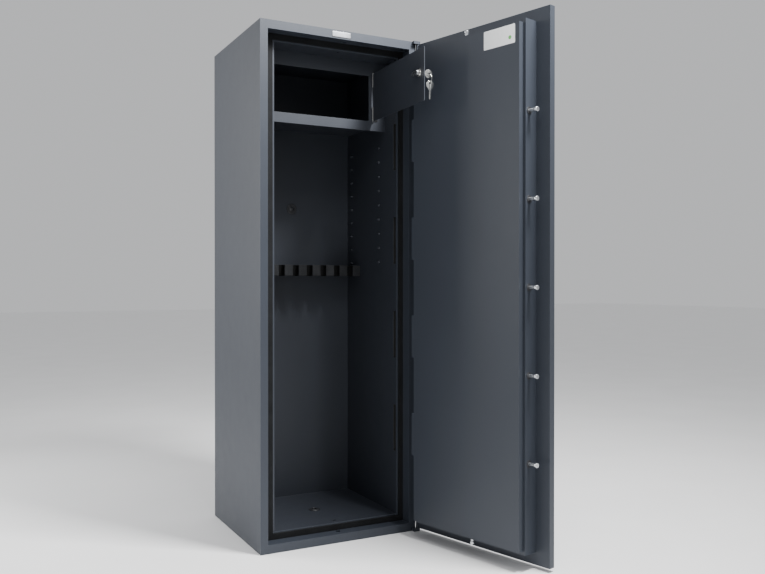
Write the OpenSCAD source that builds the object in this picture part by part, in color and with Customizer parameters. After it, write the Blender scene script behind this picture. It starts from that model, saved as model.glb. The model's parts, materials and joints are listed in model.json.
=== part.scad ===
// Fire-lined gun cabinet with a boltwork door, an inner lockable compartment and a long-gun rack.
// X runs across the cabinet, Y from front to back, Z up. The origin is the centre of the base.

/* [Cabinet] */
// Outer width of the cabinet
body_w = 500; // [490:5:540]
// Outer depth of the cabinet, without the door
body_d = 445; // [420:5:500]
// Outer height of the cabinet
body_h = 1500; // [1450:10:1600]
// Thickness of a side wall, skin to liner
wall_side = 42; // [42:1:44]
// Thickness of the floor and of the roof
wall_end = 46; // [46:1:48]
// Thickness of the back wall
wall_back = 48; // [40:1:60]
// Sheet of the outer shell
skin = 2; // [1.5:0.5:3]
// Sheet of the inner liner
liner_t = 1.5; // [1:0.5:2]

/* [Front frame] */
// Width of the frame's face at each side
flange_w = 22.5; // [20:0.5:23]
// Height of the frame's face at top and bottom
flange_h = 25; // [22:1:27]
// Depth of the rebate that takes the boltwork box
rebate_d = 45; // [45:0.5:46]
// Sheet of the frame
frame_t = 2.5; // [2:0.5:3]
// Distance from the latch side to the edge of the inner opening
latch_lip = 57.5; // [56:0.5:58]
// Gap between the seal strip and the closed door's box
seal_gap = 2; // [2:0.5:3]
// Depth of the seal strip
seal_d = 6; // [5:0.5:8]

/* [Door] */
// Angle at which the door stands open
door_open = 104.25; // [90:0.25:120]
// Width of the leaf
leaf_w = 489; // [480:1:489]
// Height of the leaf
leaf_h = 1480; // [1476:1:1481]
// Thickness of the leaf
leaf_t = 20; // [16:1:22]
// Gap between the closed leaf and the frame
door_gap = 1; // [0.5:0.5:2]
// How far the hinge axis lies outside the cabinet's side
pivot_out = 5; // [5:0.5:7]
// How far the hinge axis lies in front of the cabinet's face
pivot_front = 5; // [5:0.5:7]
// Radius of a hinge pin
pin_r = 3.5; // [3:0.5:4]

/* [Boltwork] */
// Radius of a bolt's shank
shank_r = 4.5; // [4:0.5:5]
// Radius of a bolt's head
head_r = 6.5; // [6:0.5:6.5]
// How far the bolts are thrown
throw = 14; // [12:1:14]
// Angle that the handle turns through
handle_turn = 60; // [60:1:70]
// Height of the handle's spindle
handle_z = 750; // [740:5:760]
// Distance between side bolts
bolt_pitch = 232.8; // [225:1:235]
// Height of the key's axis
key_z = 880; // [875:1:890]
// Distance of the key's axis from the handle's, towards the bolts
key_offset = 49; // [46:1:52]
// Travel of the lock's bolt
lock_throw = 12; // [10:1:12]

/* [Inner compartment] */
// Angle at which the compartment's door stands open
locker_open = 88; // [80:1:95]
// Height of the compartment's floor
locker_z = 1270; // [1260:1:1280]
// Distance from the cabinet's face to the compartment's front
locker_d = 120; // [118:1:130]

/* [Rack] */
// Height of the rack's underside
rack_z = 784; // [760:1:800]
// Number of barrel rests
rests = 8; // [4:1:8]
// Distance between barrel rests
rest_pitch = 48.6; // [46:0.2:50]

/* [Hidden] */
$fn = 48;
eps = 0.5;

// Places are given as the distance from the cabinet's left side and from its front face
function across(t) = t - body_w / 2;
function back(d) = d - body_d / 2;

// Liner's inner faces
in_x0 = across(wall_side);
in_x1 = across(body_w - wall_side);
in_y1 = back(body_d - wall_back);
in_z0 = wall_end;
in_z1 = body_h - wall_end;
lip_y = back(rebate_d + frame_t);

// Hinge axis and leaf
pivot = [across(body_w + pivot_out), back(-pivot_front), 0];
leaf_x1 = across(body_w - 3);
leaf_x0 = leaf_x1 - leaf_w;
leaf_z0 = (body_h - leaf_h) / 2;
leaf_z1 = body_h - leaf_z0;
leaf_skin = 3;
plate_t = 2;
leaf_back = back(-door_gap);
leaf_front = leaf_back - leaf_t;
tab_t = 8.5;
tab_r = 7.5;
tab_w = 12;
knuckle_r = 6;
block_h = 42;
washer_t = leaf_z0 - tab_t;

// Boltwork box on the leaf, and the cover on the box
box_x0 = across(53);
box_x1 = across(body_w - 39);
box_z0 = 44;
box_z1 = body_h - box_z0;
box_back = back(rebate_d - 1);
box_t = 2;
cover_x0 = across(61);
cover_x1 = across(body_w - 45);
cover_z0 = 54;
cover_z1 = body_h - cover_z0;
cover_back = box_back + 17;
cover_t = 1.5;

// Bolts
bolt_y = back(29);
bolt_tip = across(flange_w + 2.1);
mech_x = across(262);
bar_x0 = across(75);
bar_t = 4;
bolt_zs = [for (i = [-2 : 2]) body_h / 2 + i * bolt_pitch];
crank_r = throw / 2 / sin(handle_turn / 2);
rod_x = 11;
rod_half_w = 9;
disc_y = back(5);
arm_y = back(11);
rod_y = back(16);
layer_t = 4;
crank_pin_r = 3;
rod_end_z1 = box_z1 - 32;
rod_end_z0 = box_z0 + 32;
tip_gap = 1;

// Inner compartment
locker_top = body_h - 89;
locker_x0 = across(85);
locker_x1 = across(body_w - 100);
fascia_h = 30;
fascia_t = 1.5;
locker_y = back(locker_d);
locker_pivot = [across(body_w - 86.5), locker_y - 4, 0];
locker_door_x0 = across(75);
locker_door_x1 = across(body_w - 91);
locker_door_z0 = locker_z - 2;
locker_door_z1 = locker_top + 7;
locker_door_y = locker_y - 3;
locker_hinge_zs = [locker_z + 21, locker_top - 14];
locker_knuckle_r = 3.5;
locker_pin_r = 1.5;
cam_lock = [across(100), locker_z + 80];
key_eye_y = locker_door_y - 30;
ring_r = 11;
ring_wire_r = 0.9;

// Rack
rack_h = 36;
rack_y0 = back(298);
rack_y1 = back(328);
rest_r = 10;
rest_depth = 22;

paint = "#4a4f5a";
dark_paint = "#30343d";
zinc = "#c3c7cc";

// A cuboid given by its limits along X, Y and Z
module span(x, y, z) {
  translate([x[0], y[0], z[0]]) cube([x[1] - x[0], y[1] - y[0], z[1] - z[0]]);
}

// A rectangular ring in the XZ plane: outer limits, inner limits and limits along Y
module ring_xz(x, z, xi, zi, y) {
  difference() {
    span(x, y, z);
    span(xi, [y[0] - eps, y[1] + eps], zi);
  }
}

// A cylinder along Y, from y0 to y1
module rod_along_y(x, z, r, y0, y1) {
  translate([x, y0, z]) rotate([-90, 0, 0]) cylinder(r = r, h = y1 - y0);
}

// A cylinder along X, from x0 to x1
module rod_along_x(y, z, r, x0, x1) {
  translate([x0, y, z]) rotate([0, 90, 0]) cylinder(r = r, h = x1 - x0);
}

// Turns the children with the main door to where it stands open
module on_door() {
  translate(pivot) rotate([0, 0, door_open]) translate(-pivot) children();
}

// Turns the children with the compartment's door to where it stands open
module on_locker_door() {
  translate(locker_pivot) rotate([0, 0, locker_open]) translate(-locker_pivot) children();
}

// ---------------------------------------------------------------- cabinet

anchor_r = 6.5;
sleeve_r = 12;
back_anchor = [0, body_h / 2 + 259];
floor_anchors = [[0, back(204)], [across(257), back(72)]];

module outer_shell() color(paint) difference() {
  span([across(0), across(body_w)], [back(frame_t), back(body_d)], [0, body_h]);
  span([across(skin), across(body_w - skin)], [back(0), back(body_d - skin)], [skin, body_h - skin]);
  rod_along_y(back_anchor[0], back_anchor[1], sleeve_r, back(body_d - wall_back), back(body_d) + eps);
  for (a = floor_anchors) translate([a[0], a[1], -eps]) cylinder(r = sleeve_r, h = wall_end);
}

module bolt_holes(r) {
  for (z = bolt_zs) rod_along_x(bolt_y, z, r, across(skin + 4), across(flange_w + 1));
  for (end = [0, 1]) translate([mech_x + (end == 1 ? rod_x : -rod_x), bolt_y,
    end == 1 ? body_h - flange_h - 1 : skin + 4]) cylinder(r = r, h = flange_h - skin - 3);
}

module front_frame() color(paint) difference() {
  union() {
    ring_xz([across(0), across(body_w)], [0, body_h],
      [across(flange_w), across(body_w - flange_w)], [flange_h, body_h - flange_h],
      [back(0), back(frame_t)]);
    ring_xz([across(flange_w - frame_t), across(body_w - flange_w + frame_t)],
      [flange_h - frame_t, body_h - flange_h + frame_t],
      [across(flange_w), across(body_w - flange_w)], [flange_h, body_h - flange_h],
      [back(0), back(rebate_d + frame_t)]);
    ring_xz([across(skin), across(body_w - skin)], [skin, body_h - skin],
      [across(latch_lip), in_x1], [in_z0, in_z1],
      [back(rebate_d), lip_y]);
  }
  bolt_holes(head_r + 1);
}

dog_slot_d = [50, 66];
dog_slot_h = 145;
dog_slot_zs = [for (i = [0 : 3]) 238 + 291.3 * i];

module dog_pockets(depth) {
  for (z = dog_slot_zs)
    span([in_x1 - eps, in_x1 + depth], [back(dog_slot_d[0]), back(dog_slot_d[1])], [z, z + dog_slot_h]);
}

module inner_liner() color(dark_paint) difference() {
  span([in_x0 - liner_t, in_x1 + liner_t], [lip_y, in_y1 + liner_t], [in_z0 - liner_t, in_z1 + liner_t]);
  span([in_x0, in_x1], [lip_y - eps, in_y1], [in_z0, in_z1]);
  dog_pockets(liner_t + eps);
  rod_along_y(back_anchor[0], back_anchor[1], anchor_r, in_y1 - eps, in_y1 + liner_t + eps);
  for (a = floor_anchors) translate([a[0], a[1], in_z0 - liner_t - eps])
    cylinder(r = anchor_r, h = 2 * liner_t);
  translate([across(267), back(63), in_z1 - eps]) cylinder(r = 4, h = 2 * liner_t);
}

// Board between shell and liner: two sides, roof, floor and back, each its own slab
module fire_boards() color("#4b4844") difference() {
  union() {
    for (side = [0, 1]) mirror([side, 0, 0])
      span([across(skin), in_x0 - liner_t], [lip_y, back(body_d - skin)], [skin, body_h - skin]);
    for (z = [skin, in_z1 + liner_t])
      span([in_x0 - liner_t + 0.1, in_x1 + liner_t - 0.1], [lip_y, back(body_d - skin)],
        [z, z + wall_end - liner_t - skin]);
    span([in_x0 - liner_t + 0.1, in_x1 + liner_t - 0.1], [in_y1 + liner_t, back(body_d - skin)],
      [in_z0 - liner_t + 0.1, in_z1 + liner_t - 0.1]);
  }
  dog_pockets(14);
  rod_along_y(back_anchor[0], back_anchor[1], sleeve_r, in_y1, back(body_d));
  for (a = floor_anchors) translate([a[0], a[1], 0]) cylinder(r = sleeve_r, h = wall_end);
}

module door_seal() color("#26282b")
  ring_xz([across(flange_w), across(body_w - flange_w)], [flange_h, body_h - flange_h],
    [box_x0 - seal_gap, box_x1 + seal_gap], [box_z0 - seal_gap, box_z1 + seal_gap],
    [back(rebate_d - seal_d), back(rebate_d)]);

module anchor_sleeves() color(zinc) {
  difference() {
    rod_along_y(back_anchor[0], back_anchor[1], sleeve_r, in_y1 + liner_t, back(body_d));
    rod_along_y(back_anchor[0], back_anchor[1], anchor_r, in_y1, back(body_d) + eps);
  }
  for (a = floor_anchors) translate([a[0], a[1], 0]) difference() {
    cylinder(r = sleeve_r, h = wall_end - liner_t);
    translate([0, 0, -eps]) cylinder(r = anchor_r, h = wall_end);
  }
}

grommet_r = 18;
grommet_t = 3.5;

// A stepped rubber ring that stands on z = 0 round an anchor hole
module grommet() difference() {
  union() {
    cylinder(r = grommet_r, h = grommet_t * 0.6);
    cylinder(r = grommet_r - 4, h = grommet_t);
  }
  translate([0, 0, -eps]) cylinder(r = anchor_r + 0.5, h = grommet_t + 2 * eps);
}

module anchor_grommets() color("#15171b") {
  translate([back_anchor[0], in_y1, back_anchor[1]]) rotate([90, 0, 0]) grommet();
  translate([floor_anchors[0][0], floor_anchors[0][1], in_z0]) grommet();
}

module nameplate() color(zinc)
  span([across(219.5), across(280.5)], [back(-0.8), back(0)], [body_h - 21.5, body_h - 3.5]);

// A plate round the hinge axis that reaches onto the cabinet's face
module hinge_tab() difference() {
  union() {
    translate([pivot[0], pivot[1], 0]) cylinder(r = tab_r, h = tab_t);
    span([across(body_w - tab_w), pivot[0]], [pivot[1] - tab_r, back(0)], [0, tab_t]);
  }
  translate([pivot[0], pivot[1], -eps]) cylinder(r = pin_r + 0.05, h = tab_t + 2 * eps);
  span([across(body_w), pivot[0] + tab_r], [back(0), pivot[1] + tab_r], [-eps, tab_t + eps]);
  span([across(body_w) - eps, across(body_w + 0.05)], [back(0), back(0) + tab_r], [-eps, tab_t + eps]);
}

module hinge_tabs() color(paint) {
  hinge_tab();
  translate([0, 0, body_h - tab_t]) hinge_tab();
}

stud_r = 5;
stud_l = 6;

module shelf_studs() color(dark_paint)
  for (side = [0, 1]) mirror([side, 0, 0])
    for (d = [163.5, 364])
      for (i = [0 : 8])
        rod_along_x(back(d), 829.6 + 45.8 * i, stud_r, in_x0, in_x0 + stud_l);

// ---------------------------------------------------------------- inner compartment

module locker_front() color(dark_paint)
  ring_xz([in_x0, in_x1], [locker_z - fascia_h, in_z1],
    [locker_x0, locker_x1], [locker_z, locker_top],
    [locker_y, locker_y + fascia_t]);

module locker_shelf() color(dark_paint)
  span([in_x0, in_x1], [locker_y + fascia_t, in_y1], [locker_z - liner_t, locker_z]);

locker_leaf_t = 1.5;
locker_leaf_h = 44;

// Knuckle bands of one small butt hinge: outer thirds belong to the frame, the middle to the door
module locker_knuckles(z, bands) {
  step = locker_leaf_h / 3;
  for (b = bands) translate([locker_pivot[0], locker_pivot[1], z - locker_leaf_h / 2 + b * step + 0.15])
    difference() {
      cylinder(r = locker_knuckle_r, h = step - 0.3);
      translate([0, 0, -eps]) cylinder(r = locker_pin_r + 0.05, h = step + 2 * eps);
    }
}

// Limits along Z of one of the three bands of a small hinge, counted from below
function band(z, b) = [
  z + (b / 3 - 0.5) * locker_leaf_h + 0.15,
  z + ((b + 1) / 3 - 0.5) * locker_leaf_h - 0.15];

module locker_pin_bore(z)
  translate([locker_pivot[0], locker_pivot[1], z - locker_leaf_h])
    cylinder(r = locker_pin_r + 0.05, h = 2 * locker_leaf_h);

module locker_hinge_fixed() color(zinc) for (z = locker_hinge_zs) {
  locker_knuckles(z, [0, 2]);
  for (b = [0, 2]) difference() {
    span([locker_pivot[0], locker_pivot[0] + 16], [locker_y - locker_leaf_t, locker_y], band(z, b));
    locker_pin_bore(z);
  }
}

module locker_hinge_moving() color(zinc) on_locker_door() for (z = locker_hinge_zs) {
  locker_knuckles(z, [1]);
  difference() {
    span([locker_pivot[0] - 22, locker_pivot[0]],
      [locker_door_y - locker_leaf_t, locker_door_y], band(z, 1));
    locker_pin_bore(z);
  }
}

module locker_hinge_pins() color(zinc) for (z = locker_hinge_zs)
  translate([locker_pivot[0], locker_pivot[1], z - locker_leaf_h / 2 - 1.5]) {
    cylinder(r = locker_pin_r, h = locker_leaf_h + 3);
    translate([0, 0, locker_leaf_h + 1.6]) cylinder(r = locker_pin_r + 1.2, h = 1.4);
  }

module locker_door_panel() color(dark_paint) on_locker_door() difference() {
  span([locker_door_x0, locker_door_x1], [locker_door_y, locker_door_y + plate_t],
    [locker_door_z0, locker_door_z1]);
  rod_along_y(cam_lock[0], cam_lock[1], 9.1, locker_door_y - eps, locker_door_y + plate_t + eps);
}

// Lock barrel through the door, with a round head outside and a bore for the plug
module locker_lock_body() color(zinc) on_locker_door() difference() {
  union() {
    rod_along_y(cam_lock[0], cam_lock[1], 11.5, locker_door_y - 3.5, locker_door_y);
    rod_along_y(cam_lock[0], cam_lock[1], 9, locker_door_y - eps, locker_door_y + 11);
  }
  rod_along_y(cam_lock[0], cam_lock[1], 6.05, locker_door_y - 4, locker_door_y + 12);
}

module locker_lock_nut() color(zinc) on_locker_door() difference() {
  translate([cam_lock[0], locker_door_y + plate_t, cam_lock[1]]) rotate([-90, 0, 0])
    cylinder(r = 13, h = 4, $fn = 6);
  rod_along_y(cam_lock[0], cam_lock[1], 9.02, locker_door_y, locker_door_y + 8);
}

// Plug with the cam behind it; the cam points at the hinge while the lock is open
module locker_cam() color(zinc) on_locker_door() difference() {
  union() {
    rod_along_y(cam_lock[0], cam_lock[1], 6, locker_door_y - 3.2, locker_door_y + 14);
    span([cam_lock[0], cam_lock[0] + 24], [locker_door_y + 11.3, locker_door_y + 13.3],
      [cam_lock[1] - 7, cam_lock[1] + 7]);
    rod_along_y(cam_lock[0] + 24, cam_lock[1], 7, locker_door_y + 11.3, locker_door_y + 13.3);
    rod_along_y(cam_lock[0], cam_lock[1], 7.5, locker_door_y + 11.3, locker_door_y + 13.3);
  }
  span([cam_lock[0] - 1, cam_lock[0] + 1], [locker_door_y - 4, locker_door_y + 10],
    [cam_lock[1] - 4, cam_lock[1] + 4]);
}

eye_r = 3;
bow_r = 12;
bow_drop = 5;
key_t = 1.8;

// A flat key: its eye at the origin, its blade along -Z, flat in the YZ plane
module flat_key(blade) difference() {
  union() {
    translate([0, 0, -bow_drop]) rod_along_x(0, 0, bow_r, -key_t / 2, key_t / 2);
    span([-key_t / 2, key_t / 2], [-3.5, 3.5], [-bow_drop - bow_r - blade, -bow_drop - 2]);
  }
  rod_along_x(0, 0, eye_r, -key_t, key_t);
}

module locker_key() color(zinc) on_locker_door()
  translate([cam_lock[0], key_eye_y, cam_lock[1]]) rotate([90, 0, 0]) flat_key(20);

ring_drop = eye_r - ring_wire_r - 0.3;

// The ring hangs on the lower edge of the first key's eye, and the second key on the ring
module key_ring() color(zinc) on_locker_door()
  translate([cam_lock[0], key_eye_y, cam_lock[1] - ring_drop - ring_r])
    rotate([90, 0, 0]) rotate_extrude() translate([ring_r, 0]) circle(r = ring_wire_r);

module spare_key() color(zinc) on_locker_door()
  translate([cam_lock[0], key_eye_y, cam_lock[1] - 2 * ring_drop - 2 * ring_r]) flat_key(29);

// ---------------------------------------------------------------- rack

module gun_rack() color("#3b3d41") difference() {
  span([in_x0, in_x1], [rack_y0, rack_y1], [rack_z, rack_z + rack_h]);
  for (i = [0 : rests - 1]) {
    x = (i - (rests - 1) / 2) * rest_pitch;
    translate([x, rack_y0 + rest_depth - rest_r, rack_z - eps])
      cylinder(r = rest_r, h = rack_h + 2 * eps);
    span([x - rest_r, x + rest_r], [rack_y0 - eps, rack_y0 + rest_depth - rest_r],
      [rack_z - eps, rack_z + rack_h + eps]);
  }
}

module rack_bracket() color(dark_paint) {
  span([in_x0, in_x1], [rack_y1, rack_y1 + 2], [rack_z, rack_z + rack_h]);
  span([in_x0, in_x1], [rack_y1, in_y1], [rack_z + rack_h - 2, rack_z + rack_h]);
}

// ---------------------------------------------------------------- main door

bush_r = 10;
keyhole_r = 9;
key_x = mech_x - key_offset;

module leaf_holes(y0, y1) {
  rod_along_y(mech_x, handle_z, bush_r, y0, y1);
  rod_along_y(key_x, key_z, keyhole_r, y0, y1);
}

module door_leaf() color(paint) on_door() difference() {
  span([leaf_x0, leaf_x1], [leaf_front, leaf_back], [leaf_z0, leaf_z1]);
  span([leaf_x0 + leaf_skin, leaf_x1 - leaf_skin], [leaf_front + leaf_skin, leaf_back + eps],
    [leaf_z0 + leaf_skin, leaf_z1 - leaf_skin]);
  leaf_holes(leaf_front - eps, leaf_back + eps);
}

module door_fire_board() color("#4b4844") on_door() difference() {
  span([leaf_x0 + leaf_skin, leaf_x1 - leaf_skin], [leaf_front + leaf_skin, leaf_back - plate_t],
    [leaf_z0 + leaf_skin, leaf_z1 - leaf_skin]);
  leaf_holes(leaf_front, leaf_back);
}

module door_back_plate() color(paint) on_door() difference() {
  span([leaf_x0 + leaf_skin, leaf_x1 - leaf_skin], [leaf_back - plate_t, leaf_back],
    [leaf_z0 + leaf_skin, leaf_z1 - leaf_skin]);
  leaf_holes(leaf_front, leaf_back + eps);
}

guide_r = 8;
screw_xs = [cover_x0 + 60, 0, cover_x1 - 60];
screw_y = box_back + 8;
screw_r = 2;

// Tabs that stand on the box's rim inside the cover, with the screws' threaded holes
module cover_tabs() for (end = [0, 1]) mirror([0, 0, end])
  translate([0, 0, end == 1 ? -body_h : 0]) for (x = screw_xs) difference() {
    span([x - 9, x + 9], [box_back - box_t, box_back + 14],
      [cover_z0 + cover_t + 0.3, cover_z0 + cover_t + 3.3]);
    translate([x, screw_y, cover_z0]) cylinder(r = screw_r + 0.02, h = 8);
  }

module boltwork_box() color(paint) on_door() difference() {
  union() {
    difference() {
      span([box_x0, box_x1], [leaf_back, box_back], [box_z0, box_z1]);
      span([box_x0 + box_t, box_x1 - box_t], [leaf_back - eps, box_back - box_t],
        [box_z0 + box_t, box_z1 - box_t]);
      span([cover_x0 + 12, cover_x1 - 12], [box_back - 2 * box_t, box_back + eps],
        [cover_z0 + 12, cover_z1 - 12]);
    }
    cover_tabs();
  }
  for (z = bolt_zs) rod_along_x(bolt_y, z, guide_r, box_x0 - eps, box_x0 + 2 * box_t);
  for (end = [0, 1]) translate([mech_x + (end == 1 ? rod_x : -rod_x), bolt_y,
    end == 1 ? box_z1 - 2 * box_t : box_z0 - eps]) cylinder(r = guide_r, h = 2 * box_t + eps);
}

module cover_panel() color(paint) on_door() difference() {
  span([cover_x0, cover_x1], [box_back, cover_back], [cover_z0, cover_z1]);
  span([cover_x0 + cover_t, cover_x1 - cover_t], [box_back - eps, cover_back - cover_t],
    [cover_z0 + cover_t, cover_z1 - cover_t]);
  for (x = screw_xs) translate([x, screw_y, cover_z0 - eps])
    cylinder(r = screw_r + 0.3, h = cover_z1 - cover_z0 + 2 * eps);
}

// Screws through the cover's top and bottom edges into the box's tabs
module cover_screws() color(zinc) on_door()
  for (end = [0, 1]) mirror([0, 0, end]) translate([0, 0, end == 1 ? -body_h : 0])
    for (x = screw_xs) translate([x, screw_y, cover_z0]) {
      translate([0, 0, -1.6]) cylinder(r = 3.5, h = 1.6);
      cylinder(r = screw_r, h = 6);
    }

module door_label() color("white") on_door()
  span([cover_x0 + 14, cover_x0 + 121], [cover_back, cover_back + 0.2], [cover_z1 - 53, cover_z1 - 3]);

module hinge_block(z) difference() {
  union() {
    translate([pivot[0], pivot[1], z]) cylinder(r = knuckle_r, h = block_h);
    span([leaf_x1, pivot[0]], [pivot[1] - knuckle_r, pivot[1] - 1], [z, z + block_h]);
  }
  translate([pivot[0], pivot[1], z - eps]) cylinder(r = pin_r, h = block_h + 2 * eps);
}

module hinge_blocks() color(paint) on_door() {
  hinge_block(leaf_z0);
  hinge_block(leaf_z1 - block_h);
}

module hinge_pins() color(zinc) on_door() {
  translate([pivot[0], pivot[1], 0.2]) cylinder(r = pin_r, h = leaf_z0 + block_h);
  translate([pivot[0], pivot[1], leaf_z1 - block_h - 0.2]) cylinder(r = pin_r, h = leaf_z0 + block_h);
}

module hinge_washers() color("#b08d4a") on_door()
  for (z = [tab_t + 0.1, leaf_z1]) translate([pivot[0], pivot[1], z]) difference() {
    cylinder(r = knuckle_r, h = washer_t - 0.1);
    translate([0, 0, -eps]) cylinder(r = pin_r, h = washer_t + 2 * eps);
  }

dog_t = 4;

// Tongues on the hinge side that enter the liner's slots
module hinge_side_dogs() color(paint) on_door()
  for (z = dog_slot_zs)
    span([cover_x1, cover_x1 + 9], [cover_back - dog_t, cover_back], [z + 10, z + dog_slot_h - 10]);

module bolt_guides() color("#2a2c30") on_door() {
  for (z = bolt_zs) difference() {
    union() {
      rod_along_x(bolt_y, z, guide_r, box_x0, box_x0 + 7.5);
      rod_along_x(bolt_y, z, guide_r + 2, box_x0 - 1.5, box_x0);
    }
    rod_along_x(bolt_y, z, shank_r + 0.08, box_x0 - 2, box_x0 + 9);
  }
  for (end = [0, 1]) translate([mech_x + (end == 1 ? rod_x : -rod_x), bolt_y, end == 1 ? box_z1 : box_z0])
    mirror([0, 0, end == 1 ? 0 : 1]) difference() {
      union() {
        translate([0, 0, -8]) cylinder(r = guide_r, h = 8);
        cylinder(r = guide_r + 2, h = 1.5);
      }
      translate([0, 0, -9]) cylinder(r = shank_r + 0.08, h = 12);
    }
}

spindle_r = 6;

module handle_bush() color("#b08d4a") on_door() difference() {
  rod_along_y(mech_x, handle_z, bush_r, leaf_front, leaf_back + 3);
  rod_along_y(mech_x, handle_z, spindle_r + 0.05, leaf_front - eps, leaf_back + 4);
}

module handle_rosette() color(zinc) on_door() difference() {
  rod_along_y(mech_x, handle_z, 27, leaf_front - 4, leaf_front);
  rod_along_y(mech_x, handle_z, spindle_r + 0.05, leaf_front - 5, leaf_front + eps);
}

lock_w = 70;
lock_h = 80;
lock_d = 22;
lock_z0 = key_z - 30;
lock_sheet = 2;
lock_bolt_w = 14;
lock_bolt_t = 8;
lock_bolt_y = leaf_back + 12;
lock_tip = mech_x + rod_x - rod_half_w - 1 - lock_throw;

module lock_case() color(zinc) on_door() difference() {
  span([key_x - lock_w / 2, key_x + lock_w / 2], [leaf_back, leaf_back + lock_d],
    [lock_z0, lock_z0 + lock_h]);
  span([key_x - lock_w / 2 + lock_sheet, key_x + lock_w / 2 - lock_sheet],
    [leaf_back + lock_sheet, leaf_back + lock_d + eps],
    [lock_z0 + lock_sheet, lock_z0 + lock_h - lock_sheet]);
  rod_along_y(key_x, key_z, keyhole_r, leaf_back - eps, leaf_back + 3);
  span([key_x + lock_w / 2 - lock_sheet - eps, key_x + lock_w / 2 + eps],
    [lock_bolt_y - 0.2, lock_bolt_y + lock_bolt_t + 0.2],
    [key_z - lock_bolt_w / 2 - 0.2, key_z + lock_bolt_w / 2 + 0.2]);
}

module lock_cover() color(zinc) on_door()
  span([key_x - lock_w / 2, key_x + lock_w / 2], [leaf_back + lock_d, leaf_back + lock_d + lock_sheet],
    [lock_z0, lock_z0 + lock_h]);

module lock_rosette() color(zinc) on_door() difference() {
  rod_along_y(key_x, key_z, 20, leaf_front - 4, leaf_front);
  rod_along_y(key_x, key_z, keyhole_r, leaf_front - 5, leaf_front + eps);
}

// ---------------------------------------------------------------- boltwork

// Angle bar that carries the side bolts, with an arm whose fork sits over a crank pin
module bolt_bar() color(zinc) on_door() difference() {
  union() {
    span([bar_x0, bar_x0 + bar_t], [arm_y, back(41)], [bolt_zs[0] - 18, bolt_zs[4] + 18]);
    span([bar_x0, bar_x0 + 28], [arm_y, arm_y + layer_t], [bolt_zs[0] - 18, bolt_zs[4] + 18]);
    span([bar_x0, mech_x + crank_r + 8], [arm_y, arm_y + layer_t], [handle_z + 11, handle_z + 34]);
  }
  for (z = bolt_zs) rod_along_x(bolt_y, z, 3, bar_x0 - eps, bar_x0 + bar_t + eps);
  fork_x = mech_x + throw / 2;
  span([fork_x - crank_pin_r - 0.6, fork_x + crank_pin_r + 0.6], [arm_y - eps, arm_y + layer_t + eps],
    [handle_z + 10, handle_z + crank_r + crank_pin_r + 0.6]);
}

// A bolt along -X: threaded tail, shank, flare and flat-ended head, its tip at the origin
module live_bolt(shank_l) {
  rotate([0, 90, 0]) rotate_extrude() polygon([
    [0, 0], [head_r - 0.6, 0], [head_r, 0.6], [head_r, 6.5], [shank_r, 11], [shank_r, shank_l],
    [3, shank_l], [3, shank_l + 10], [0, shank_l + 10]]);
}

side_shank_l = bar_x0 - bolt_tip;

module side_bolt(i) color(zinc) on_door()
  translate([bolt_tip, bolt_y, bolt_zs[i - 1]]) live_bolt(side_shank_l);

module bolt_nuts() color(zinc) on_door()
  for (z = bolt_zs) difference() {
    translate([bar_x0 + bar_t, bolt_y, z]) rotate([0, 90, 0]) cylinder(r = 6, h = 4.5, $fn = 6);
    rod_along_x(bolt_y, z, 3, bar_x0, bar_x0 + 12);
  }

// A flat rod with a cross slot for its crank pin and a foot for its bolt; up = 1 or -1
module flat_rod(up, x, z_end) {
  crank_x = mech_x + up * crank_r * cos(handle_turn / 2);
  pin_z = handle_z - up * throw / 2;
  z_tail = pin_z - up * 8;
  difference() {
    union() {
      span([x - rod_half_w, x + rod_half_w], [rod_y, rod_y + layer_t],
        [min(z_tail, z_end), max(z_tail, z_end)]);
      span([x - rod_half_w, x + rod_half_w], [rod_y, bolt_y + 6],
        [min(z_end, z_end - up * 6), max(z_end, z_end - up * 6)]);
    }
    span([crank_x - crank_pin_r - (up > 0 ? 0.6 : 2.6), crank_x + crank_pin_r + (up > 0 ? 2.6 : 0.6)],
      [rod_y - eps, rod_y + layer_t + eps], [pin_z - crank_pin_r - 0.6, pin_z + crank_pin_r + 0.6]);
    translate([x, bolt_y, min(z_end, z_end - up * 6) - eps]) cylinder(r = 3, h = 7);
  }
}

end_tip_z = body_h - flange_h - tip_gap;
end_shank_l = end_tip_z - rod_end_z1;

module top_rod() color(zinc) on_door() flat_rod(1, mech_x + rod_x, rod_end_z1);

module top_bolt() color(zinc) on_door()
  translate([mech_x + rod_x, bolt_y, end_tip_z]) rotate([0, 90, 0]) live_bolt(end_shank_l);

module bottom_rod() color(zinc) on_door() flat_rod(-1, mech_x - rod_x, rod_end_z0);

module bottom_bolt() color(zinc) on_door()
  translate([mech_x - rod_x, bolt_y, body_h - end_tip_z]) rotate([0, -90, 0]) live_bolt(end_shank_l);

// ---------------------------------------------------------------- handle and lock

module handle_spindle() color(zinc) on_door()
  rod_along_y(mech_x, handle_z, spindle_r, leaf_front - 30, disc_y + 5);

module drive_disc() color(zinc) on_door() {
  difference() {
    rod_along_y(mech_x, handle_z, crank_r + 6, disc_y, disc_y + 5);
    rod_along_y(mech_x, handle_z, spindle_r, disc_y - eps, disc_y + 6);
  }
  for (pin = [[90, arm_y + layer_t], [180, rod_y + layer_t], [0, rod_y + layer_t]]) {
    a = pin[0] - handle_turn / 2;
    rod_along_y(mech_x + crank_r * cos(a), handle_z + crank_r * sin(a), crank_pin_r,
      disc_y + 4, pin[1] + 0.5);
  }
}

module handle_hub() color(zinc) on_door() difference() {
  union() {
    rod_along_y(mech_x, handle_z, 16, leaf_front - 34, leaf_front - 4.2);
    rod_along_y(mech_x, handle_z, 21, leaf_front - 9, leaf_front - 4.2);
  }
  rod_along_y(mech_x, handle_z, spindle_r, leaf_front - 30, leaf_front);
}

lever_l = 105;

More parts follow.
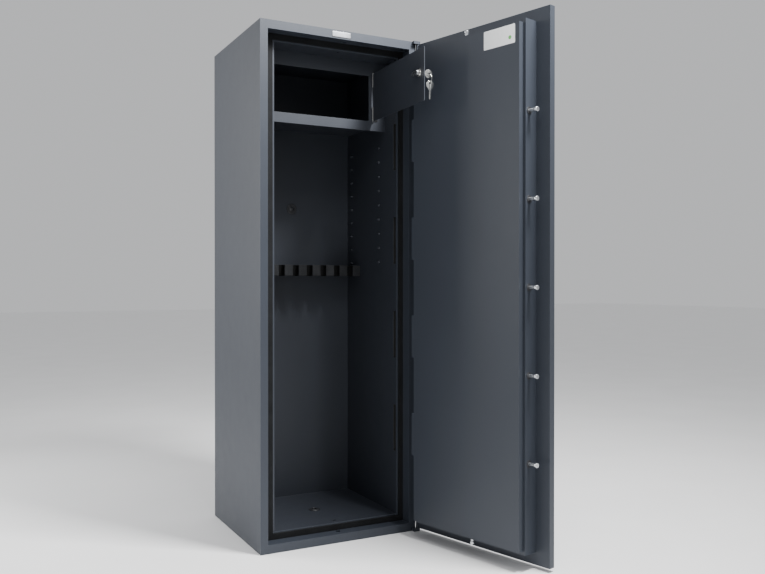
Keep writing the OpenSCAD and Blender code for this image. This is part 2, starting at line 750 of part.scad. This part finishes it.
// Lever on the hub: it hangs towards the floor while the bolts are drawn
module handle_lever() color(zinc) on_door()
  translate([mech_x, leaf_front - 25, handle_z]) rotate([0, 90 - 30, 0]) {
    difference() {
      rotate([0, 90, 0]) cylinder(r = 8, h = lever_l);
      rotate([90, 0, 0]) cylinder(r = 16, h = 40, center = true);
    }
    translate([lever_l, 0, 0]) sphere(r = 8);
  }

// Bolt of the lock: it moves towards the top rod's edge
module lock_bolt() color("#b08d4a") on_door()
  span([key_x + 12, lock_tip], [lock_bolt_y, lock_bolt_y + lock_bolt_t],
    [key_z - lock_bolt_w / 2, key_z + lock_bolt_w / 2]);

// Double-bitted key: bow outside, shaft through the leaf, bits inside the lock case
module main_key() color(zinc) on_door() {
  rod_along_y(key_x, key_z, 3.2, leaf_front - 24, leaf_back + 10.5);
  span([key_x - 1.2, key_x + 1.2], [leaf_back + 4, leaf_back + 10], [key_z - 8, key_z + 8]);
  difference() {
    translate([key_x - 1.5, leaf_front - 34, key_z]) rotate([0, 90, 0]) cylinder(r = 13, h = 3);
    translate([key_x - 2, leaf_front - 38, key_z]) rotate([0, 90, 0]) cylinder(r = 4.5, h = 4);
  }
}

outer_shell();
front_frame();
inner_liner();
fire_boards();
door_seal();
anchor_sleeves();
anchor_grommets();
nameplate();
hinge_tabs();
shelf_studs();
locker_front();
locker_shelf();
locker_hinge_fixed();
gun_rack();
rack_bracket();
locker_door_panel();
locker_hinge_moving();
locker_hinge_pins();
locker_lock_body();
locker_lock_nut();
locker_cam();
locker_key();
key_ring();
spare_key();
door_leaf();
door_fire_board();
door_back_plate();
boltwork_box();
cover_panel();
cover_screws();
door_label();
hinge_blocks();
hinge_pins();
hinge_washers();
hinge_side_dogs();
bolt_guides();
handle_bush();
handle_rosette();
lock_case();
lock_cover();
lock_rosette();
bolt_bar();
side_bolt(1);  // side_bolt_1
side_bolt(2);  // side_bolt_2
side_bolt(3);  // side_bolt_3
side_bolt(4);  // side_bolt_4
side_bolt(5);  // side_bolt_5
bolt_nuts();
top_rod();
top_bolt();
bottom_rod();
bottom_bolt();
handle_spindle();
handle_hub();
handle_lever();
drive_disc();
lock_bolt();
main_key();
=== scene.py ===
import json
import math

import bmesh
import bpy
from mathutils import Matrix, Vector


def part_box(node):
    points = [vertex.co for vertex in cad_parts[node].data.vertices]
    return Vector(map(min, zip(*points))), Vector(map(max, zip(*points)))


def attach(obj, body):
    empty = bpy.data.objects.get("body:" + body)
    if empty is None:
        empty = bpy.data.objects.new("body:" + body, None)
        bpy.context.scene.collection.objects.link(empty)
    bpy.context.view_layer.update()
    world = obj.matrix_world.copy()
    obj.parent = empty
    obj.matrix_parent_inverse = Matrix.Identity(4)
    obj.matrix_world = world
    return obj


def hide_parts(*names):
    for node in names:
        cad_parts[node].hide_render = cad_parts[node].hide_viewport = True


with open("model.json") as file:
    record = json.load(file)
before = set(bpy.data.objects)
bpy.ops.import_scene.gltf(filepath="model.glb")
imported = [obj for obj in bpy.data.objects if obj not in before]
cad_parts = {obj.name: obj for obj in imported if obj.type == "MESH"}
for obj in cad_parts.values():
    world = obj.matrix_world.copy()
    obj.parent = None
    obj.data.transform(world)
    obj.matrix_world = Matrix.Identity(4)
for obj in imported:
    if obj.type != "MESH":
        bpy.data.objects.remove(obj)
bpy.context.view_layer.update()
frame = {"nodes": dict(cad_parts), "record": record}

MM = 0.001
nodes = frame["nodes"]
record = frame["record"]
joints = {j["name"]: j for j in record["behaviour"]["joints"]}


# ---------------------------------------------------------------- materials

class Shader:
    """A Principled material whose nodes are added by short calls."""

    def __init__(self, name, color, rough, metal=0.0):
        self.mat = bpy.data.materials.new(name)
        self.mat.use_nodes = True
        self.tree = self.mat.node_tree
        self.bsdf = self.tree.nodes["Principled BSDF"]
        self.put("Base Color", (*color, 1))
        self.put("Roughness", rough)
        self.put("Metallic", metal)
        self.coord = self.tree.nodes.new("ShaderNodeTexCoord").outputs["Object"]

    def put(self, socket, value):
        self.bsdf.inputs[socket].default_value = value

    def join(self, a, b):
        self.tree.links.new(a, b)

    def noise(self, scale, detail=2.0, rough=0.5, stretch=(1, 1, 1)):
        mapping = self.tree.nodes.new("ShaderNodeMapping")
        mapping.inputs["Scale"].default_value = stretch
        self.join(self.coord, mapping.inputs["Vector"])
        node = self.tree.nodes.new("ShaderNodeTexNoise")
        node.inputs["Scale"].default_value = scale
        node.inputs["Detail"].default_value = detail
        node.inputs["Roughness"].default_value = rough
        self.join(mapping.outputs["Vector"], node.inputs["Vector"])
        return node.outputs["Fac"]

    def cells(self, scale):
        node = self.tree.nodes.new("ShaderNodeTexVoronoi")
        node.inputs["Scale"].default_value = scale
        self.join(self.coord, node.inputs["Vector"])
        return node.outputs["Distance"]

    def ramp(self, fac, stops):
        node = self.tree.nodes.new("ShaderNodeValToRGB")
        ramp = node.color_ramp
        while len(ramp.elements) < len(stops):
            ramp.elements.new(0.5)
        for element, (place, value) in zip(ramp.elements, stops):
            element.position = place
            color = value if isinstance(value, tuple) else (value, value, value)
            element.color = (*color, 1)
        self.join(fac, node.inputs["Fac"])
        return node.outputs["Color"]

    def mix(self, fac, a, b, mode="MIX"):
        node = self.tree.nodes.new("ShaderNodeMix")
        node.data_type = "RGBA"
        node.blend_type = mode
        for socket, value in ((node.inputs["Factor"], fac), (node.inputs["A"], a), (node.inputs["B"], b)):
            if isinstance(value, (float, int)):
                socket.default_value = value
            elif isinstance(value, tuple):
                socket.default_value = (*value, 1)
            else:
                self.join(value, socket)
        return node.outputs["Result"]

    def color(self, out):
        self.join(out, self.bsdf.inputs["Base Color"])

    def roughness(self, out):
        self.join(out, self.bsdf.inputs["Roughness"])

    def bump(self, *layers):
        """Each layer is (height output, distance in metres, strength)."""
        normal = None
        for height, distance, strength in layers:
            node = self.tree.nodes.new("ShaderNodeBump")
            node.inputs["Distance"].default_value = distance
            node.inputs["Strength"].default_value = strength
            self.join(height, node.inputs["Height"])
            if normal:
                self.join(normal, node.inputs["Normal"])
            normal = node.outputs["Normal"]
        self.join(normal, self.bsdf.inputs["Normal"])

    def rubbed_edges(self):
        """A mask that rises within a millimetre of an edge, from the rounded normal."""
        bevel = self.tree.nodes.new("ShaderNodeBevel")
        bevel.samples = 3
        bevel.inputs["Radius"].default_value = 0.0009
        geometry = self.tree.nodes.new("ShaderNodeNewGeometry")
        dot = self.tree.nodes.new("ShaderNodeVectorMath")
        dot.operation = "DOT_PRODUCT"
        self.join(bevel.outputs["Normal"], dot.inputs[0])
        self.join(geometry.outputs["Normal"], dot.inputs[1])
        return self.ramp(dot.outputs["Value"], [(0.90, 1.0), (0.985, 0.0)])


def scaled(color, k):
    return tuple(min(1.0, c * k) for c in color)


def painted(name, color, rough=0.42):
    """Fine-textured powder coat: tiny dimples, faint clouding, edges rubbed a little lighter."""
    s = Shader(name, color, rough)
    clouds = s.ramp(s.noise(5.0, 3.0), [(0.3, scaled(color, 0.97)), (0.7, scaled(color, 1.03))])
    grain = s.ramp(s.noise(2600.0, 2.0), [(0.35, 0.88), (0.65, 1.12)])
    speckled = s.mix(1.0, clouds, grain, "MULTIPLY")
    s.color(s.mix(s.rubbed_edges(), speckled, scaled(color, 1.6)))
    s.roughness(s.ramp(s.noise(24.0, 4.0), [(0.3, rough - 0.015), (0.7, rough + 0.02)]))
    s.bump((s.noise(1400.0, 3.0, 0.6), 0.00035, 0.32), (s.noise(160.0, 2.0), 0.0004, 0.05))
    s.put("Specular IOR Level", 0.35)
    return s.mat


def metal(name, color, rough, stretch=(1, 1, 1), tint=0.12):
    """Plated metal with fine drawn or tumbled marks and slight clouding."""
    s = Shader(name, color, rough, 1.0)
    shades = [(0.3, scaled(color, 1 - tint)), (0.7, scaled(color, 1 + tint))]
    s.color(s.ramp(s.noise(60.0, 4.0, 0.6), shades))
    s.roughness(s.ramp(s.noise(420.0, 3.0, 0.5, stretch), [(0.3, rough * 0.75), (0.7, rough * 1.35)]))
    s.bump((s.noise(900.0, 2.0, 0.5, stretch), 0.0001, 0.25))
    return s.mat


def plastic(name, color, rough):
    s = Shader(name, color, rough)
    s.color(s.ramp(s.noise(40.0, 3.0), [(0.3, scaled(color, 0.9)), (0.7, scaled(color, 1.15))]))
    s.roughness(s.ramp(s.noise(300.0, 2.0), [(0.3, rough - 0.05), (0.7, rough + 0.08)]))
    s.bump((s.noise(1800.0, 2.0), 0.0001, 0.3))
    return s.mat


def foam_shader(name, color):
    """Closed-cell foam: small open pits, darkened in colour as painted shade, and a soft, uneven skin."""
    s = Shader(name, color, 0.9)
    # painted shade: the colour darkens in the pits, which the bump below sinks with the same cells
    pit_shade = s.ramp(s.cells(420.0), [(0.1, 0.55), (0.5, 1.0)])
    skin_and_pit_shade = s.mix(1.0, s.ramp(s.noise(30.0, 4.0), [(0.3, scaled(color, 0.8)), (0.7, scaled(color, 1.25))]),
                 pit_shade, "MULTIPLY")
    s.bump((s.cells(420.0), 0.0006, 0.5), (s.noise(90.0, 3.0), 0.001, 0.25))
    s.put("Specular IOR Level", 0.2)
    return s, skin_and_pit_shade


def foam(name, color):
    s, skin_and_pit_shade = foam_shader(name, color)
    s.color(skin_and_pit_shade)
    return s.mat


def foam_with_notch_shade(name, color):
    """The rack's foam, with painted shade on the walls of the notches, which stand at an even pitch about
    x = 0.
    """
    notch_half = 0.0101
    s, skin_and_pit_shade = foam_shader(name, color)
    split = s.tree.nodes.new("ShaderNodeSeparateXYZ")
    s.join(s.coord, split.inputs[0])
    half = REST_PITCH / 2
    wave = s.tree.nodes.new("ShaderNodeMath")
    wave.operation = "PINGPONG"
    s.join(split.outputs["X"], wave.inputs[0])
    wave.inputs[1].default_value = half
    part = s.tree.nodes.new("ShaderNodeMath")
    part.operation = "DIVIDE"
    s.join(wave.outputs[0], part.inputs[0])
    part.inputs[1].default_value = half
    edge = 1 - notch_half / half
    # painted shade: the foam's colour drops to a tenth across each notch, where shade falls inside the
    # rest
    s.color(s.mix(1.0, skin_and_pit_shade, s.ramp(part.outputs[0], [(edge - 0.01, 1.0), (edge, 0.1)]), "MULTIPLY"))
    return s.mat


def board(name, color):
    s = Shader(name, color, 0.92)
    s.color(s.mix(1.0, s.ramp(s.noise(18.0, 5.0), [(0.3, scaled(color, 0.85)), (0.7, scaled(color, 1.1))]),
                  s.ramp(s.noise(900.0, 2.0), [(0.3, 0.8), (0.7, 1.1)]), "MULTIPLY"))
    s.bump((s.noise(500.0, 4.0, 0.7), 0.0008, 0.5))
    return s.mat


def paper(name, color):
    s = Shader(name, color, 0.55)
    s.color(s.ramp(s.noise(120.0, 4.0), [(0.3, scaled(color, 0.97)), (0.7, scaled(color, 1.02))]))
    s.bump((s.noise(1500.0, 3.0), 0.00005, 0.3))
    return s.mat


openings = {o["name"]: o["box_m"] for o in record["physics"]["openings"]}
REST_PITCH = openings["barrel_rest_2"][0][0] - openings["barrel_rest_1"][0][0]
PAINT = (0.034, 0.040, 0.052)
# the inside coat is the outside paint made darker: painted shade for the cabinet's interior
INSIDE_SHADED = (0.028, 0.032, 0.041)
materials = {
    "paint": painted("paint", PAINT),
    "paint_inside": painted("paint_inside", INSIDE_SHADED, 0.46),
    # the fire board is near black as painted shade in the slots and pockets where it shows
    "fire_board": board("fire_board", (0.012, 0.012, 0.0115)),
    "seal": foam("seal", (0.009, 0.0095, 0.0105)),
    "zinc": metal("zinc", (0.66, 0.68, 0.70), 0.26),
    "dark_steel": metal("dark_steel", (0.10, 0.105, 0.115), 0.4),
    "plug": plastic("plug", (0.016, 0.017, 0.02), 0.45),
    "plate": metal("plate", (0.30, 0.31, 0.33), 0.42, (1, 30, 30)),
    "plate_rim": plastic("plate_rim", (0.03, 0.032, 0.036), 0.4),
    "nickel": metal("nickel", (0.70, 0.70, 0.68), 0.18),
    "foam": foam_with_notch_shade("foam", (0.020, 0.021, 0.023)),
    "label": paper("label", (0.86, 0.87, 0.87)),
    "dot": paper("dot", (0.12, 0.42, 0.10)),
    "brass": metal("brass", (0.62, 0.45, 0.2), 0.25),
    "guide": plastic("guide", (0.02, 0.02, 0.023), 0.5),
    "chrome": metal("chrome", (0.76, 0.77, 0.78), 0.16),
}


def paint_over(obj, material):
    obj.data.materials.clear()
    obj.data.materials.append(material)


# CAD nodes keep their shape; edges are broken as on formed sheet and turned parts
EDGE = {
    "outer_shell": 1.2, "front_frame": 0.9, "door_leaf": 2.4, "boltwork_box": 1.6, "cover_panel": 1.8,
    "locker_door_panel": 0.6, "locker_front": 0.5, "hinge_tabs": 1.0, "hinge_blocks": 0.8,
    "door_back_plate": 0.3, "gun_rack": 1.6, "rack_bracket": 0.6,
}
TINY = {"door_label", "nameplate", "key_ring", "locker_shelf", "fire_boards", "door_fire_board"}


def soften(obj, width):
    """Merges coplanar triangles, breaks the edges by a width in mm and keeps flat faces flat."""
    weld = obj.modifiers.new("weld", "WELD")
    weld.merge_threshold = 0.00002
    merge = obj.modifiers.new("merge", "DECIMATE")
    merge.decimate_type = "DISSOLVE"
    merge.angle_limit = math.radians(0.5)
    if width:
        bevel = obj.modifiers.new("edge", "BEVEL")
        bevel.width = width * MM
        bevel.segments = 3
        bevel.limit_method = "ANGLE"
        bevel.angle_limit = math.radians(40)
    flat = obj.modifiers.new("flat_faces", "WEIGHTED_NORMAL")
    flat.keep_sharp = True
    flat.weight = 100


slot_of = {row["node"]: row["material_slot"] for row in record["subparts"]}
for name, obj in nodes.items():
    paint_over(obj, materials[slot_of[name]])
    soften(obj, 0 if name in TINY else EDGE.get(name, 0.3))


# ---------------------------------------------------------------- shapes

def hinge_matrix(joint):
    """Where a door's shut position is carried to at rest."""
    row = joints[joint]
    p = Vector(row["pos_m"])
    turn = Matrix.Rotation(-math.radians(row["range_deg"][0]), 4, "Z")
    return Matrix.Translation(p) @ turn @ Matrix.Translation(-p)


DOOR = hinge_matrix("main_door_hinge")
LOCKER = hinge_matrix("locker_door_hinge")
FIXED = Matrix.Identity(4)


def shut_box(node, place):
    """Lowest and highest corner of a node with its door shut."""
    back = place.inverted()
    points = [back @ v.co for v in nodes[node].data.vertices]
    low = Vector([min(p[i] for p in points) for i in range(3)])
    high = Vector([max(p[i] for p in points) for i in range(3)])
    return low, high


def middle(node, place):
    low, high = shut_box(node, place)
    return (low + high) / 2


def add(name, mesh, material, body, replaced=(), smooth=40):
    """A piece that rides on a body; edges sharper than smooth degrees stay sharp."""
    obj = bpy.data.objects.new(name, mesh)
    bpy.context.scene.collection.objects.link(obj)
    paint_over(obj, materials[material])
    for poly in mesh.polygons:
        poly.use_smooth = True
    mesh.set_sharp_from_angle(angle=math.radians(smooth))
    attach(obj, body)
    if replaced:
        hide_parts(*replaced)
    return obj


def mesh_of(bm, name, matrix=FIXED):
    bmesh.ops.recalc_face_normals(bm, faces=bm.faces)
    bm.transform(matrix)
    mesh = bpy.data.meshes.new(name)
    bm.to_mesh(mesh)
    bm.free()
    return mesh


def lathe_into(bm, profile, matrix, sides=48):
    """Turns a profile of (radius, height) points in mm about Z; ends at radius 0 are closed."""
    rings = []
    for r, z in profile:
        if r < 1e-6:
            rings.append([bm.verts.new(matrix @ Vector((0, 0, z * MM)))])
        else:
            turns = [2 * math.pi * k / sides for k in range(sides)]
            rings.append([bm.verts.new(matrix @ Vector((
                r * MM * math.cos(a), r * MM * math.sin(a), z * MM))) for a in turns])
    for a, b in zip(rings, rings[1:]):
        for k in range(sides):
            n = (k + 1) % sides
            corners = [a[k % len(a)], a[n % len(a)], b[n % len(b)], b[k % len(b)]]
            unique = list(dict.fromkeys(corners))
            if len(unique) > 2:
                bm.faces.new(unique)


def arc(cx, cy, r, a0, a1, n):
    return [(cx + r * math.cos(math.radians(a0 + (a1 - a0) * k / n)),
             cy + r * math.sin(math.radians(a0 + (a1 - a0) * k / n))) for k in range(n + 1)]


def rounded(w, h, r, n=6):
    """A rounded rectangle about the origin, in mm."""
    x, y = w / 2 - r, h / 2 - r
    return (arc(x, y, r, 0, 90, n) + arc(-x, y, r, 90, 180, n)
            + arc(-x, -y, r, 180, 270, n) + arc(x, -y, r, 270, 360, n))


def cut_plate(name, outline, holes, thick, bevel, matrix):
    """A flat plate about its own middle plane, cut to an outline with holes, with broken edges."""
    curve = bpy.data.curves.new(name, "CURVE")
    curve.dimensions = "2D"
    curve.fill_mode = "BOTH"
    curve.extrude = (thick / 2 - bevel) * MM
    curve.bevel_depth = bevel * MM
    curve.bevel_resolution = 2
    curve.offset = -bevel * MM
    for points in [outline, *holes]:
        spline = curve.splines.new("POLY")
        spline.points.add(len(points) - 1)
        for point, (x, y) in zip(spline.points, points):
            point.co = (x * MM, y * MM, 0, 1)
        spline.use_cyclic_u = True
    temp = bpy.data.objects.new(name, curve)
    bpy.context.scene.collection.objects.link(temp)
    depsgraph = bpy.context.evaluated_depsgraph_get()
    mesh = bpy.data.meshes.new_from_object(temp.evaluated_get(depsgraph))
    bpy.data.objects.remove(temp)
    bm = bmesh.new()
    bm.from_mesh(mesh)
    bmesh.ops.remove_doubles(bm, verts=bm.verts, dist=0.000002)
    return mesh_of(bm, name, matrix)


def axes(origin, u, v):
    """The matrix that takes X to u, Y to v and Z to u x v, with its origin moved."""
    u, v = Vector(u).normalized(), Vector(v).normalized()
    w = u.cross(v)
    m = Matrix((u, v, w)).transposed().to_4x4()
    m.translation = origin
    return m


# ---------------------------------------------------------------- pieces on the cabinet

def ear_into(bm, wall, y, z, side):
    """One ear on a side wall: half a dome, deep below its middle line and flat above."""
    ear_w, ear_h, ear_out = 15.0, 10.0, 5.6
    steps, turns = 5, 16
    place = axes(Vector((wall, y, z)), (0, 1, 0), (0, 0, side))
    rings = []
    for i in range(steps + 1):
        t = i / steps * math.pi / 2
        ring = []
        for k in range(turns):
            a = 2 * math.pi * k / turns
            sag = 1 if math.sin(a) < 0 else 0.45
            ring.append(bm.verts.new(place @ Vector((
                ear_w / 2 * math.cos(t) * math.cos(a) * MM,
                side * ear_h * 0.62 * math.cos(t) * math.sin(a) * sag * MM,
                -ear_out * math.sin(t) ** 0.8 * MM))))
        rings.append(ring)
    for low, high in zip(rings, rings[1:]):
        for k in range(turns):
            n = (k + 1) % turns
            bm.faces.new((low[k], low[n], high[n], high[k]))
    bm.faces.new(list(reversed(rings[0])))


def shelf_supports():
    """Ears pressed out of the side walls, where the CAD has its studs."""
    low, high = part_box("shelf_studs")
    rows, columns, stud_r = 9, 2, 0.005
    bm = bmesh.new()
    for side, wall in ((-1, low[0]), (1, high[0])):
        for c in range(columns):
            y = low[1] + stud_r + c * (high[1] - low[1] - 2 * stud_r) / (columns - 1)
            for r in range(rows):
                z = low[2] + stud_r + r * (high[2] - low[2] - 2 * stud_r) / (rows - 1)
                ear_into(bm, wall, y, z, side)
    bmesh.ops.remove_doubles(bm, verts=bm.verts, dist=0.00002)
    ears = mesh_of(bm, "shelf_ears")
    add("shelf_ears", ears, "paint_inside", "cabinet", ("shelf_studs",), 60)


def grommets():
    """Rubber rings round the anchor holes, with a groove and a rolled rim."""
    ring = [(7.0, 0.05), (7.0, 2.6), (7.6, 3.3), (9.2, 3.5), (10.6, 3.1), (11.3, 2.3), (12.4, 2.2),
            (13.2, 2.9), (15.0, 3.0), (16.8, 2.4), (17.8, 1.3), (18.0, 0.4), (17.8, 0.05), (7.0, 0.05)]
    outer_r = 0.018
    low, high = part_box("anchor_grommets")
    bm = bmesh.new()
    lathe_into(bm, ring, axes(Vector((0, high[1], high[2] - outer_r)), (1, 0, 0), (0, 0, 1)))
    lathe_into(bm, ring, Matrix.Translation((0, low[1] + outer_r, low[2])))
    bmesh.ops.remove_doubles(bm, verts=bm.verts, dist=0.00001)
    add("anchor_rings", mesh_of(bm, "anchor_rings"), "plug", "cabinet", ("anchor_grommets",))


def plaque():
    """A blank plate with a dark rim on the frame's top face."""
    low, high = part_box("nameplate")
    centre = (Vector(low) + Vector(high)) / 2
    w, h = (high[0] - low[0]) / MM, (high[2] - low[2]) / MM
    rim = 1.6
    behind = axes(centre + Vector((0, 0.00015, 0)), (1, 0, 0), (0, 0, 1))
    rim_mesh = cut_plate("plate_rim", rounded(w, h, 2.5), [], 0.5, 0.1, behind)
    add("plate_rim", rim_mesh, "plate_rim", "cabinet")
    place = axes(centre, (1, 0, 0), (0, 0, 1))
    plate_mesh = cut_plate("blank_plate", rounded(w - 2 * rim, h - 2 * rim, 1.6), [], 0.8, 0.15, place)
    add("blank_plate", plate_mesh, "plate", "cabinet", ("nameplate",))


# ---------------------------------------------------------------- keys

def key_outline(blade):
    """Round bow, shoulder and a blade with cuts along one edge; the eye is at the origin."""
    bow_r, bow_x = 12, 5
    root = bow_x + bow_r
    tip = root + blade
    edge = [(tip, -0.8), (tip - 1.5, -2.6)]
    for k, depth in enumerate((0.6, 1.5, 0.9, 1.7, 1.1)):
        u = tip - 3 - k * 2.9
        edge += [(u, -3.2 + depth), (u - 1.3, -3.2 + depth), (u - 2.0, -3.2)]
    bow = arc(bow_x, 0, bow_r, 26, 334, 30)
    near_shoulder = [(root + 0.4, -4.6), (root + 2.0, -4.6), (root + 2.6, -3.4)]
    far_edge = [(tip, 0.8), (tip - 1.5, 3.2)]
    far_shoulder = [(root + 2.6, 3.2), (root + 2.0, 4.6), (root + 0.4, 4.6)]
    return bow + near_shoulder + list(reversed(edge)) + far_edge + far_shoulder


def key_piece(name, node, body, origin, u, v, blade):
    mesh = cut_plate(name, key_outline(blade), [arc(0, 0, 3, 0, 345, 23)], 1.8, 0.2,
                     LOCKER @ axes(origin, u, v))
    add(name, mesh, "nickel", body, (node,), 30)


EYE_TO_EDGE = 0.007


def keys():
    low, high = shut_box("locker_key", LOCKER)
    eye = Vector(((low[0] + high[0]) / 2, low[1] + EYE_TO_EDGE, (low[2] + high[2]) / 2))
    key_piece("cam_lock_key", "locker_key", "locker_cylinder", eye, (0, 1, 0), (0, 0, 1), 19.8)
    low, high = shut_box("spare_key", LOCKER)
    eye = Vector(((low[0] + high[0]) / 2, (low[1] + high[1]) / 2, high[2] - EYE_TO_EDGE))
    key_piece("second_key", "spare_key", "spare_key", eye, (0, 0, -1), (0, 1, 0), 28.8)


# ---------------------------------------------------------------- pieces on the main door

def lever():
    """Turned lever: a neck at the hub, a waisted grip and a rounded end."""
    hub = middle("handle_hub", DOOR)
    low, high = shut_box("handle_lever", DOOR)
    end_r = 0.008
    y = (low[1] + high[1]) / 2
    direction = Vector((high[0] - end_r - hub[0], 0, low[2] + end_r - hub[2]))
    length = direction.length / MM
    side = Vector((0, 1, 0))
    along = direction.normalized()
    place = axes(Vector((hub[0], y, hub[2])), side, along.cross(side))
    profile = [(0, 12), (6.4, 12), (6.4, 19), (7.4, 21), (7.8, 24), (6.6, 32), (6.2, 45), (6.6, 62),
               (7.4, 82), (7.9, 96), (7.95, length - 2), (7.4, length + 3), (5.6, length + 6.2),
               (2.6, length + 7.8), (0, length + 8)]
    bm = bmesh.new()
    lathe_into(bm, profile, DOOR @ place)
    add("lever", mesh_of(bm, "lever"), "chrome", "handle", ("handle_lever",), 50)


def label():
    """A blank sticker with a plain round dot."""
    low, high = shut_box("door_label", DOOR)
    w, h = (high[0] - low[0]) / MM, (high[2] - low[2]) / MM
    centre = (low + high) / 2
    place = DOOR @ axes(centre, (-1, 0, 0), (0, 0, 1))
    sheet = cut_plate("sticker", rounded(w, h, 2), [], 0.18, 0.03, place)
    add("sticker", sheet, "label", "main_door", ("door_label",))
    spot = DOOR @ axes(centre + Vector((-w * 0.34 * MM, 0.0, -h * 0.16 * MM)), (-1, 0, 0), (0, 0, 1))
    dot = cut_plate("sticker_dot", arc(0, 0, 5.2, 0, 350, 35), [], 0.26, 0.03, spot)
    add("sticker_dot", dot, "dot", "main_door")


def screws():
    """Pan heads on the cover's upper and lower edges."""
    low, high = shut_box("cover_screws", DOOR)
    head_r, head_h, count = 0.0035, 0.0016, 3
    head = [(0, 1.5), (1.6, 1.45), (2.6, 1.1), (3.3, 0.5), (3.5, 0), (0, -0.05)]
    bm = bmesh.new()
    y = (low[1] + high[1]) / 2
    for up in (-1, 1):
        z = high[2] - head_h if up > 0 else low[2] + head_h
        for k in range(count):
            x = low[0] + head_r + k * (high[0] - low[0] - 2 * head_r) / (count - 1)
            lathe_into(bm, head, DOOR @ axes(Vector((x, y, z)), (1, 0, 0), (0, up, 0)), 24)
    heads = mesh_of(bm, "cover_screw_heads")
    add("cover_screw_heads", heads, "zinc", "main_door", ("cover_screws",))


shelf_supports()
grommets()
plaque()
keys()
lever()
label()
screws()


# ---------------------------------------------------------------- stage, light and camera

def plane(name, size, z):
    mesh = bpy.data.meshes.new(name)
    h = size / 2
    mesh.from_pydata([(-h, -h, z), (h, -h, z), (h, h, z), (-h, h, z)], [], [(0, 1, 2, 3)])
    obj = bpy.data.objects.new(name, mesh)
    bpy.context.scene.collection.objects.link(obj)
    return obj


floor = plane("floor", 40.0, -0.0005)
floor_shader = Shader("floor", (0.92, 0.92, 0.92), 0.7)
floor_shader.color(floor_shader.ramp(floor_shader.noise(3.0, 2.0), [(0.3, 0.90), (0.7, 0.93)]))
paint_over(floor, floor_shader.mat)

world = bpy.data.worlds.new("studio")
world.use_nodes = True
world.node_tree.nodes["Background"].inputs["Color"].default_value = (0.97, 0.98, 1.0, 1)
world.node_tree.nodes["Background"].inputs["Strength"].default_value = 0.62
bpy.context.scene.world = world


def softbox(name, place, target, size, power):
    light = bpy.data.lights.new(name, "AREA")
    light.shape = "RECTANGLE"
    light.size, light.size_y = size
    light.energy = power
    obj = bpy.data.objects.new(name, light)
    obj.location = place
    obj.rotation_euler = (Vector(target) - Vector(place)).to_track_quat("-Z", "Y").to_euler()
    bpy.context.scene.collection.objects.link(obj)


softbox("key", (0.55, -1.15, 2.55), (-0.2, -0.22, 1.25), (0.5, 0.4), 135)
softbox("fill", (-0.25, -1.3, 2.15), (-0.15, -0.22, 1.2), (0.5, 0.4), 7)
softbox("side", (-1.8, 1.05, 1.2), (-0.25, 0.05, 0.75), (1.0, 1.6), 36)

CAMERA_PLACE = (-1.016, -2.398, 0.764)
CAMERA_YAW = math.radians(27.89)
CAMERA_PITCH = math.radians(-0.345)
camera_data = bpy.data.cameras.new("camera")
camera_data.sensor_width = 36.0
camera_data.lens = 38.5
camera = bpy.data.objects.new("camera", camera_data)
camera.location = CAMERA_PLACE
camera.rotation_euler = (math.pi / 2 + CAMERA_PITCH, 0, -CAMERA_YAW)
bpy.context.scene.collection.objects.link(camera)
bpy.context.scene.camera = camera
